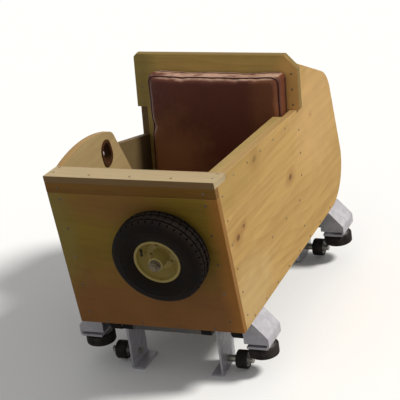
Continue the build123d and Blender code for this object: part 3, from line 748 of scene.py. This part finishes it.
def bumper_tyre():
    """Hand-cart tyre: rounded carcass, sidewall bands, three ribs and cross grooves."""
    tyre = turned(mirrored([
        (BEAD, 0.0225), (BEAD + 0.004, 0.0245), (BEAD + 0.009, 0.028), (0.076, 0.0332), (0.087, 0.0356),
        (0.0905, 0.0352), (0.092, 0.036), (0.095, 0.036), (0.0965, 0.0348), (0.104, 0.0336),
        (0.1112, 0.0308), (0.1162, 0.0272), (0.1198, 0.0228), (0.121, 0.018), (0.1176, 0.0172),
        (0.1176, 0.0148), (0.1216, 0.0138), (0.122, 0.0062), (0.1186, 0.0054),
    ]), TREAD_STEPS * 2)
    pick(tyre, in_groove)
    bpy.ops.mesh.inset(thickness=0.0004, use_individual=True)
    bpy.ops.transform.shrink_fatten(value=-GROOVE_DEPTH)
    leave_edit()
    point_along(tyre, TYRE_MIDDLE, BUMPER_AXIS)
    settle(tyre, "bumper_tyre_tread", "bumper_wheel", TYRE, smooth=32)
    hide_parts("bumper_tyre")


def bumper_rim():
    """Stamped dish with a rolled lip over each bead, a raised ring round its bolts and a long hub."""
    pieces = [turned([
        (AXLE_BORE, 0.037), (0.016, 0.037), (0.019, 0.035), (0.019, 0.001), (0.0205, -0.003),
        (0.0225, -0.0055), (0.033, -0.0058), (0.0372, -0.0048), (0.041, -0.001), (0.0468, 0.007),
        (0.0505, 0.012), (0.053, 0.0165), (0.054, 0.0205), *arc((0.0582, 0.0222), 0.0042, 180, 10, 6),
        (0.0612, 0.0196), (BEAD, 0.018), (0.0572, 0.01), (0.0572, -0.01), (BEAD, -0.018),
        (0.0612, -0.0196), *arc((0.0582, -0.0222), 0.0042, -10, -180, 6), (0.054, -0.015),
        (0.0532, 0.004), (0.05, 0.008), (0.0445, 0.001), (0.0385, -0.0072), (0.034, -0.0088),
        (0.0225, -0.0088), (0.019, -0.011), (0.019, -0.035), (0.016, -0.037), (AXLE_BORE, -0.037),
    ], 72)]
    for index in range(RIM_BOLTS):
        x, y = unit(360 * (index + 0.5) / RIM_BOLTS)
        for height in (-0.004, -0.0108):
            pieces.append(hexagon(0.0048, 0.0042, (RIM_BOLT_CIRCLE * x, RIM_BOLT_CIRCLE * y, height)))
    rim = joined(pieces)
    point_along(rim, TYRE_MIDDLE, BUMPER_AXIS)
    settle(rim, "bumper_rim_dish", "bumper_wheel", CREAM, smooth=30)
    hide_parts("bumper_rim")


def valve_stem():
    stem = turned([
        (0.0, 0.0), (0.0032, 0.0), (0.0032, 0.008), (0.0022, 0.01), (0.0022, 0.014), (0.0032, 0.014),
        (0.0032, 0.021), (0.0026, 0.022), (0.0, 0.022),
    ], 16)
    place = BUMPER_AT + BUMPER_AXIS * (TYRE_OUT + 0.0105)
    aim = BUMPER_AXIS.to_track_quat("Z", "Y").to_matrix()
    side = aim @ Vector((*unit(150), 0))
    point_along(stem, place + side * 0.05, (BUMPER_AXIS * 0.8 - side * 0.42).normalized())
    settle(stem, "bumper_valve", "bumper_wheel", URETHANE)


# Rail wheels
TREAD_THICK = 0.007
TREAD_ROUND = 0.0032
SHIELD = 0.0105  # radius of the bearing's shield
WHEEL_BORE = 0.00505


def wheel_parts(radius, width):
    """(tread, core) of a rail wheel made about Z."""
    half = width / 2
    seat = radius - TREAD_THICK
    tread = turned([
        (seat, -half + 0.0012), (seat + 0.0008, -half),
        *arc((radius - TREAD_ROUND, -half + TREAD_ROUND), TREAD_ROUND, -90, 0, 4),
        *arc((radius - TREAD_ROUND, half - TREAD_ROUND), TREAD_ROUND, 0, 90, 4),
        (seat + 0.0008, half), (seat, half - 0.0012),
    ], 64)
    dish = half - 0.004
    step = seat - 0.0022
    core = turned(mirrored([
        (WHEEL_BORE, half + 0.003), (0.0086, half + 0.003), (0.009, half + 0.0012), (SHIELD, half + 0.001),
        (SHIELD + 0.0006, half + 0.0024), (0.0126, half + 0.0022), (0.0132, dish + 0.0008),
        (step - 0.0012, dish), (step, half - 0.002), (step + 0.0006, half - 0.001), (seat, half - 0.001),
    ]), 64)
    return tread, core


def rail_wheels():
    for kind, radius, width in RAIL_WHEELS:
        tread, core = wheel_parts(radius, width)
        for corner in CORNERS:
            body = f"{kind}_{corner}"
            joint = joint_of[body]
            for part, label, finish in ((tread, "tread", URETHANE), (core, "core", WHEEL_CORE)):
                piece = copied(part)
                point_along(piece, joint["pos_m"], joint["axis"])
                settle(piece, f"{body}_{label}", body, finish, smooth=35)
                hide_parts(body)
        dropped(tread, core)


# Seat and back cushion
CLOTH_FRAMES = 20
PAD_PRESSURE = 4.0
SWELL_CAP = 0.007
SIDE_PULL = 0.22
PRESSED = 0.16  # share of a blown pad that its seat presses flat
CROWN = 0.004
WELT_RADIUS = 0.0027
WELT_CORNER = 0.026
WELT_PITCH = 0.005
PINCH_DEPTH = 0.0022
PINCH_REACH = 0.011


def swell(pad, through):
    """Blows a closed pad up as cloth: no point moves further than the cap through its thickness,
    and only a share of the pull is kept along its sides."""
    start = [vertex.co.copy() for vertex in pad.data.vertices]
    settings = pad.modifiers.new("Cloth", "CLOTH").settings
    settings.use_pressure = True
    settings.uniform_pressure_force = PAD_PRESSURE
    settings.effector_weights.gravity = 0.0
    settings.bending_stiffness = 0.6
    for number in range(1, CLOTH_FRAMES + 1):
        scene.frame_set(number)
    apply_modifiers(pad)
    scene.frame_set(1)
    for vertex, place in zip(pad.data.vertices, start):
        shift = vertex.co - place
        for axis in range(3):
            shift[axis] *= 1.0 if axis == through else SIDE_PULL
        if shift.length > SWELL_CAP:
            shift *= SWELL_CAP / shift.length
        vertex.co = place + shift


def fit_pad(pad, low, high, through, rest_high):
    """Draws a blown pad back to its size; the side that it rests on is pressed flat."""
    for axis in range(3):
        values = [vertex.co[axis] for vertex in pad.data.vertices]
        least, most = min(values), max(values)
        start, end = low[axis], high[axis]
        if axis == through:
            pressed = PRESSED * (most - least)
            if rest_high:
                most -= pressed
                start -= CROWN
            else:
                least += pressed
                end += CROWN
        ratio = (end - start) / (most - least)
        for vertex in pad.data.vertices:
            vertex.co[axis] = min(max(start + (vertex.co[axis] - least) * ratio, start), end)


def seam_loop(low, high, through, level):
    """Places round a pad on a rounded rectangle, at a level through its thickness."""
    a, b = [axis for axis in range(3) if axis != through]
    low_a, high_a = low[a] + WELT_CORNER, high[a] - WELT_CORNER
    low_b, high_b = low[b] + WELT_CORNER, high[b] - WELT_CORNER
    corners = ((high_a, high_b, 0), (low_a, high_b, 90), (low_a, low_b, 180), (high_a, low_b, 270))
    loop = []
    for across, along, start in corners:
        for step in range(9):
            cosine, sine = unit(start + 90 * step / 8)
            place = Vector(ZERO)
            place[through] = level
            place[a] = across + WELT_CORNER * cosine
            place[b] = along + WELT_CORNER * sine
            loop.append(place)
    dense = []
    for start, end in zip(loop, loop[1:] + loop[:1]):
        count = max(1, round((end - start).length / WELT_PITCH))
        dense += [start.lerp(end, index / count) for index in range(count)]
    return dense


def on_surface(pad, loop, proud):
    """The loop laid on a pad's surface and evened out."""
    laid = []
    for place in loop:
        near, normal = pad.closest_point_on_mesh(place)[1:3]
        laid.append(near + normal * proud)
    for turn in range(3):
        laid = [(laid[i - 1] + laid[i] * 2 + laid[(i + 1) % len(laid)]) / 4 for i in range(len(laid))]
    return laid


def pinch(pad, path):
    """Draws the cover in along a seam."""
    tree = KDTree(len(path))
    for index, place in enumerate(path):
        tree.insert(place, index)
    tree.balance()
    normals = [vertex.normal.copy() for vertex in pad.data.vertices]
    for vertex, normal in zip(pad.data.vertices, normals):
        far = tree.find(vertex.co)[2]
        if far < PINCH_REACH:
            vertex.co -= normal * PINCH_DEPTH * (1 - far / PINCH_REACH) ** 2


def piping(path):
    """Round welt along a closed path."""
    data = bpy.data.curves.new("welt", "CURVE")
    data.dimensions = "3D"
    data.bevel_depth = WELT_RADIUS
    data.bevel_resolution = 3
    line = data.splines.new("POLY")
    line.points.add(len(path) - 1)
    for point, place in zip(line.points, path):
        point.co = (*place, 1)
    line.use_cyclic_u = True
    select_only(linked("welt", data))
    bpy.ops.object.convert(target="MESH")
    return bpy.context.object


def cushion(node, low, high, through, rest_high, place, levels):
    """Boxed cushion: blown up, fitted, seamed and piped in its own frame, then put in its place."""
    low, high = Vector(low) / 1000, Vector(high) / 1000
    size = [span - 0.016 for span in high - low]
    size[through] = (high - low)[through] * 0.8
    pad = block(size, (low + high) / 2)
    edit(pad)
    bpy.ops.mesh.bevel(offset=0.009, segments=3, affect="EDGES")
    leave_edit()
    add_modifier(pad, "REMESH", mode="VOXEL", voxel_size=0.0055)
    apply_modifiers(pad)
    swell(pad, through)
    fit_pad(pad, low, high, through, rest_high)
    add_modifier(pad, "SUBSURF", levels=1, render_levels=1)
    apply_modifiers(pad)
    welts = []
    for share in levels:
        level = low[through] + (high - low)[through] * share
        path = on_surface(pad, seam_loop(low, high, through, level), 0.0)
        pinch(pad, path)
        welts.append(piping(on_surface(pad, path, 0.001)))
    welt = joined(welts)
    for piece in (pad, welt):
        piece.matrix_world = place
    settle(pad, f"{node}_cover", "car", MAROON, smooth=60)
    settle(welt, f"{node}_piping", "car", PIPING, smooth=60)
    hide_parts(node)


def cushions():
    foot, top, seat_top = 200.0, 488.0, 150.0
    height = (top - foot) / math.cos(RECLINE)
    back = Matrix.Translation(tub(0, back_y(foot), foot)) @ Matrix.Rotation(-RECLINE, 4, "X")
    cushion("back_cushion", (-180, -58.3, 0), (206, -0.3, height), 1, True, back, (0.09, 0.88))
    seat = Matrix.Translation(tub(0, 0, seat_top + 0.3))
    rear = back_y(seat_top) - 0.3
    cushion("seat_cushion", (-191, SEAT_FRONT, 0), (191, rear, 40), 2, False, seat, (0.2, 0.82))


# Countersunk screws
def screw_head():
    """Cross-recessed raised head about Z."""
    head = made(bpy.ops.mesh.primitive_cylinder_add, vertices=16, radius=0.0032, depth=0.0014)
    pick(head, faces_up)
    bpy.ops.mesh.inset(thickness=0.0006)
    bpy.ops.transform.translate(value=(0, 0, 0.0003))
    bpy.ops.mesh.inset(thickness=0.0006)
    mesh = bmesh.from_edit_mesh(head.data)
    for vertex in [v for v in mesh.verts if v.select]:
        turn = math.atan2(vertex.co.y, vertex.co.x) % (math.pi / 2)
        reach = 0.002 if min(turn, math.pi / 2 - turn) < 0.3 else 0.0008
        vertex.co.xy = vertex.co.xy.normalized() * reach
    bmesh.update_edit_mesh(head.data)
    bpy.ops.mesh.extrude_region_move(TRANSFORM_OT_translate={"value": (0, 0, -0.0009)})
    leave_edit()
    return head


def evenly(start, end, count):
    """Evenly spaced values from start to end."""
    return [start + (end - start) * index / (count - 1) for index in range(count)]


def copies_at(model, places, chance=None):
    """Copies of a model, each at a (place, axis), turned at random where there is a chance."""
    twins = []
    for place, axis in places:
        twins.append(copied(model))
        point_along(twins[-1], place, axis, chance.uniform(0, math.pi) if chance else 0.0)
    return twins


def set_out(model, name, places, material, smooth=35):
    """One joined piece of copies of a model."""
    piece = joined(copies_at(model, places, random.Random(name)))
    settle(piece, name, "car", material, smooth=smooth)


def side_screws(side):
    """Rows into the front post, floor, seat board, back board and, on the right, the batten."""
    face = side * HALF
    rows = [tub(face, y, z) for y, z in zip(evenly(34, -21, 6), evenly(36, 392, 6))]
    rows += [tub(face, y, BOARD / 2) for y in evenly(80, 715, 8)]
    rows += [tub(face, y, SEAT_SCREW) for y in evenly(262, 486, 3)]
    rows += [tub(face, back_y(z) + BOARD / 2, z) for z in (56, 200, 262, 326)]
    if side > 0:
        rows += [tub(face, y, top_edge(y) - 22) for y in evenly(62, 440, 5)]
    else:
        rows += [tub(face, 293, z) for z in (188, 262)]
    return [(place, RIGHT * side) for place in rows]


def front_screws():
    rows = []
    for side in BOTH:
        rows += [on_front(side * 196, up) for up in evenly(34, 384, 5) + [418]]
    rows += [on_front(x, BOARD / 2) for x in evenly(-150, 150, 4)]
    return [(place, FRONT_OUT) for place in rows]


def top_screws():
    tilt = math.atan(SIDE_DROP / SIDE_RUN)
    spots = [(x, y) for x in (-214, 214) for y in (-30, 4)] + [(x, -42) for x in (-110, 0, 110)]
    return [(tub(x, y, top_edge(y)), Vector((0, math.sin(tilt), math.cos(tilt)))) for x, y in spots]


def back_screws():
    return [(tub(side * 221, back_y(z), z), BACK_OUT) for side in BOTH for z in (398, 440, 482)]


TAIL_SPOTS = (
    # place along the tub, height, angle of the outward direction
    (600, 491.9, 63), (660, 461.3, 63), (720, 430.8, 63), (803, 376.8, 36.5), (827.1, 300, 10),
    (840.3, 225, 10), (853.6, 150, 10), (821.9, 35.1, -45),
)


def tail_screws():
    places = []
    for y, z, angle in TAIL_SPOTS:
        places += [(tub(x, y, z), Vector((0, *unit(angle)))) for x in (-200, -100, 0, 100, 200)]
    return places


def riser_screws():
    spots = [(x, z) for x in (-200, 200) for z in (40, 75, 110)]
    spots += [(x, SEAT_SCREW) for x in (-150, 0, 150)]
    return [(tub(x, SEAT_FRONT, z), -REAR) for x, z in spots]


def all_screws():
    head = screw_head()
    sets = {
        "screws_right": side_screws(1), "screws_left": side_screws(-1), "screws_front": front_screws(),
        "screws_top": top_screws(), "screws_back": back_screws(), "screws_tail": tail_screws(),
        "screws_riser": riser_screws(),
    }
    for name, places in sets.items():
        set_out(head, name, places, DARK_SCREW if name == "screws_front" else SCREW_ZINC, smooth=30)
    dropped(head)


# Coach bolts, nuts and plugs
TUBE_BOLTS = ((TUBE_X, 75), (TUBE_X, 215), (TUBE_X, 470), (TUBE_X, 690))
ARM_BOLTS = ((198, 67), (198, 129), (198, 714), (198, 776))


def coach_head():
    dome = [(max(radius, 0.0), height) for radius, height in arc((0.0, -0.0085), 0.013, 90, 42, 7)]
    return turned(dome + [(0.0097, 0.0), (0.0, 0.0)], 28)


def nut_end():
    """Washer, chamfered nut and the thread beyond it, along Z from height 0."""
    washer = turned([(0.004, 0.0), (0.01, 0.0), (0.0102, 0.0003), (0.0102, 0.0014), (0.01, 0.0017),
                     (0.004, 0.0017)], 28)
    nut = hexagon(0.0075, 0.0065, (0, 0, 0.0049))
    thread = [(0.0, 0.008)]
    for turn in range(5):
        height = 0.008 + turn * 0.0009
        thread += [(0.0034, height), (0.0039, height + 0.00045)]
    thread += [(0.003, 0.0128), (0.0, 0.0128)]
    return joined([washer, nut, turned(thread, 20)])


def tube_plug():
    """Ribbed cap pressed into a square tube, its face on Z."""
    plug = block((0.0296, 0.0296, 0.002), (0, 0, 0.001))
    pick(plug, faces_up)
    for margin, rise in ((0.003, 0.0009), (0.0035, -0.0006)):
        bpy.ops.mesh.inset(thickness=margin)
        bpy.ops.transform.translate(value=(0, 0, rise))
    leave_edit()
    add_modifier(plug, "BEVEL", width=0.0006, segments=2, limit_method="ANGLE")
    apply_modifiers(plug)
    return plug


def pairs(spots, z, axis):
    """(place, axis) of each (x, y) on both sides of the middle."""
    return [(tub(side * x, y, z), axis) for x, y in spots for side in BOTH]


def fastenings():
    dome, nut, head, plug = coach_head(), nut_end(), hexagon(0.0065, 0.0048), tube_plug()
    floor = pairs(TUBE_BOLTS + ARM_BOLTS[:2], BOARD, UP)
    under = pairs(TUBE_BOLTS, TUBE_UNDER, -UP) + pairs(ARM_BOLTS, SHELF_UNDER, -UP)
    plate = [(BUMPER_X + x, BUMPER_UP + up) for x in (-36, 36) for up in (-36, 36)]
    sets = (
        (dome, "floor_coach_heads", floor),
        (nut, "underframe_nuts", under),
        (nut, "backing_plate_nuts", [(on_front(x, up, -24), -FRONT_OUT) for x, up in plate]),
        (head, "dog_bracket_bolts", [(tub(0, y, SHELF_UNDER), -UP) for y in (225.4, 274.6)]),
    )
    for model, name, places in sets:
        set_out(model, name, places, BOLT_ZINC)
    front, rear = FRAME_ENDS
    ends = pairs([(TUBE_X, front)], -TUBE_HALF, -REAR) + pairs([(TUBE_X, rear)], -TUBE_HALF, REAR)
    settle(joined(copies_at(plug, ends)), "frame_tube_plugs", "car", PLUG, smooth=35)
    dropped(dome, nut, head, plug)


# Moulding round the hand slot, dark so that it also stands in for the slot's shade
SLOT_AT = (259.0, 366.3)
SLOT_LENGTH = 68.0
SLOT_WIDTH = 48.0
SLOT_TILT = math.radians(14.0)
SLOT_CHANNEL = (
    # out from the slot's wall, across the board
    (-5.2, -10.4), (-4.4, -11.2), (4.4, -11.2), (5.0, -10.6), (5.0, -9.05), (0.05, -9.05),
    (0.05, 9.05), (5.0, 9.05), (5.0, 10.6), (4.4, 11.2), (-4.4, 11.2), (-5.2, 10.4),
)


def slot_trim():
    """Channel of dark rubber pushed over the slot's edge; its darkness also paints the shade inside the slot.
    """
    radius = SLOT_WIDTH / 2
    reach = (SLOT_LENGTH - SLOT_WIDTH) / 2
    path = []
    for end, start in ((1, -90), (-1, 90)):
        for step in range(25):
            path.append((Vector((end * reach, 0)), Vector(unit(start + 180 * step / 24))))
    count = len(SLOT_CHANNEL)
    trim = made(bpy.ops.mesh.primitive_torus_add, major_segments=len(path), minor_segments=count)
    along = Vector((-math.sin(SLOT_TILT), math.cos(SLOT_TILT)))
    aside = Vector((-along.y, along.x))
    for index, vertex in enumerate(trim.data.vertices):
        centre, out = path[index // count]
        beyond, across = SLOT_CHANNEL[index % count]
        spot = centre + out * (radius + beyond)
        place = along * spot.x + aside * spot.y
        vertex.co = tub(across - (HALF + INSIDE) / 2, SLOT_AT[0] + place.x, SLOT_AT[1] + place.y)
    edit(trim)
    bpy.ops.mesh.normals_make_consistent(inside=False)
    leave_edit()
    settle(trim, "slot_trim", "car", TRIM_RUBBER_AND_SHADE)


# Weld beads
def bead(start, end, radius):
    """Rippled bead laid along a line, half sunk in its corner."""
    length = (end - start).length
    count = max(3, round(length / 0.0028))
    profile = [(0.0, 0.0)]
    for index in range(count):
        height = length * (index + 0.25) / count
        profile += [(radius * 0.78, height), (radius, height + length * 0.4 / count)]
    piece = turned(profile + [(0.0, length)], 10)
    point_along(piece, start, end - start)
    return piece


def weld(name, runs, radius, material):
    """One piece of beads, each along a (start, end) in the tub's millimetres."""
    beads = [bead(tub(*start), tub(*end), radius) for start, end in runs]
    settle(joined(beads), name, "car", material, smooth=50)


def frame_welds():
    runs = []
    for y in CROSS_TUBES:
        for side in BOTH:
            x = side * (TUBE_X - TUBE_HALF)
            runs += [((x, edge, -1), (x, edge, TUBE_UNDER + 1)) for edge in (y - TUBE_HALF, y + TUBE_HALF)]
            runs.append(((x, y - 14, TUBE_UNDER), (x, y + 14, TUBE_UNDER)))
    runs += [((x, 764, TUBE_UNDER), (x, 791, TUBE_UNDER)) for x in (TAB_HALF, -TAB_HALF)]
    weld("frame_welds", runs, 0.0026, BLACK)


def carrier_welds():
    for row, y in BOGIES.items():
        for label, side in zip(SIDES, BOTH):
            x = side * (TUBE_X + TUBE_HALF)
            runs = [((x, edge, -3), (x, edge, TUBE_UNDER + 1)) for edge in (y - BOGIE_HALF, y + BOGIE_HALF)]
            runs += [((x, y + start, TUBE_UNDER), (x, y + start + 32, TUBE_UNDER)) for start in (-44, 12)]
            weld(f"carrier_welds_{row}_{label}", runs, 0.0028, WELD)


# Studio
def seen_by(g, *rays):
    """1 for any of the given kinds of ray."""
    path = g.add("ShaderNodeLightPath").outputs
    mask = path[rays[0]]
    for ray in rays[1:]:
        mask = g.math("MAXIMUM", mask, path[ray])
    return mask


def pale_floor():
    floor = made(bpy.ops.mesh.primitive_plane_add, size=30, location=(0, 0, 0))
    floor.name = "studio_floor"
    material, g, shader = new_material("studio_floor")
    seen = seen_by(g, "Is Camera Ray", "Is Glossy Ray", "Is Transmission Ray")
    g.feed(shader["Base Color"], g.mix(seen, (0.22, 0.22, 0.22, 1), (0.93, 0.93, 0.93, 1)))
    shader["Roughness"].default_value = 0.9
    shader["Specular IOR Level"].default_value = 0.0
    floor.data.materials.append(material)


def studio_light():
    data = bpy.data.lights.new("key", "SUN")
    data.energy = SUN_STRENGTH
    data.angle = SUN_SPREAD
    data.color = SUN_COLOUR
    key = linked("key", data)
    key.rotation_euler = SUN_FROM.to_track_quat("Z", "Y").to_euler()
    world = bpy.data.worlds.new("studio")
    scene.world = world
    world.use_nodes = True
    g = Graph(world.node_tree)
    sky = world.node_tree.nodes["Background"].inputs
    sky["Color"].default_value = WHITE
    seen = seen_by(g, "Is Camera Ray", "Is Glossy Ray")
    g.feed(sky["Strength"], g.ramp(seen, 0.0, 1.0, SKY_STRENGTH, 1.0))


def photo_camera():
    data = bpy.data.cameras.new("camera")
    data.sensor_fit = "HORIZONTAL"
    data.angle = math.radians(CAMERA_FIELD)
    camera = linked("camera", data)
    aim = CAMERA_FORWARD.to_track_quat("-Z", "Y").to_matrix()
    roll = Matrix.Rotation(math.radians(-CAMERA_ROLL), 3, "Z")
    camera.matrix_world = Matrix.Translation(CAMERA_AT) @ (aim @ roll).to_4x4()
    scene.camera = camera


bumper_tyre()
bumper_rim()
valve_stem()
rail_wheels()
cushions()
all_screws()
fastenings()
slot_trim()
frame_welds()
carrier_welds()
pale_floor()
studio_light()
photo_camera()
scene.view_settings.view_transform = "Standard"
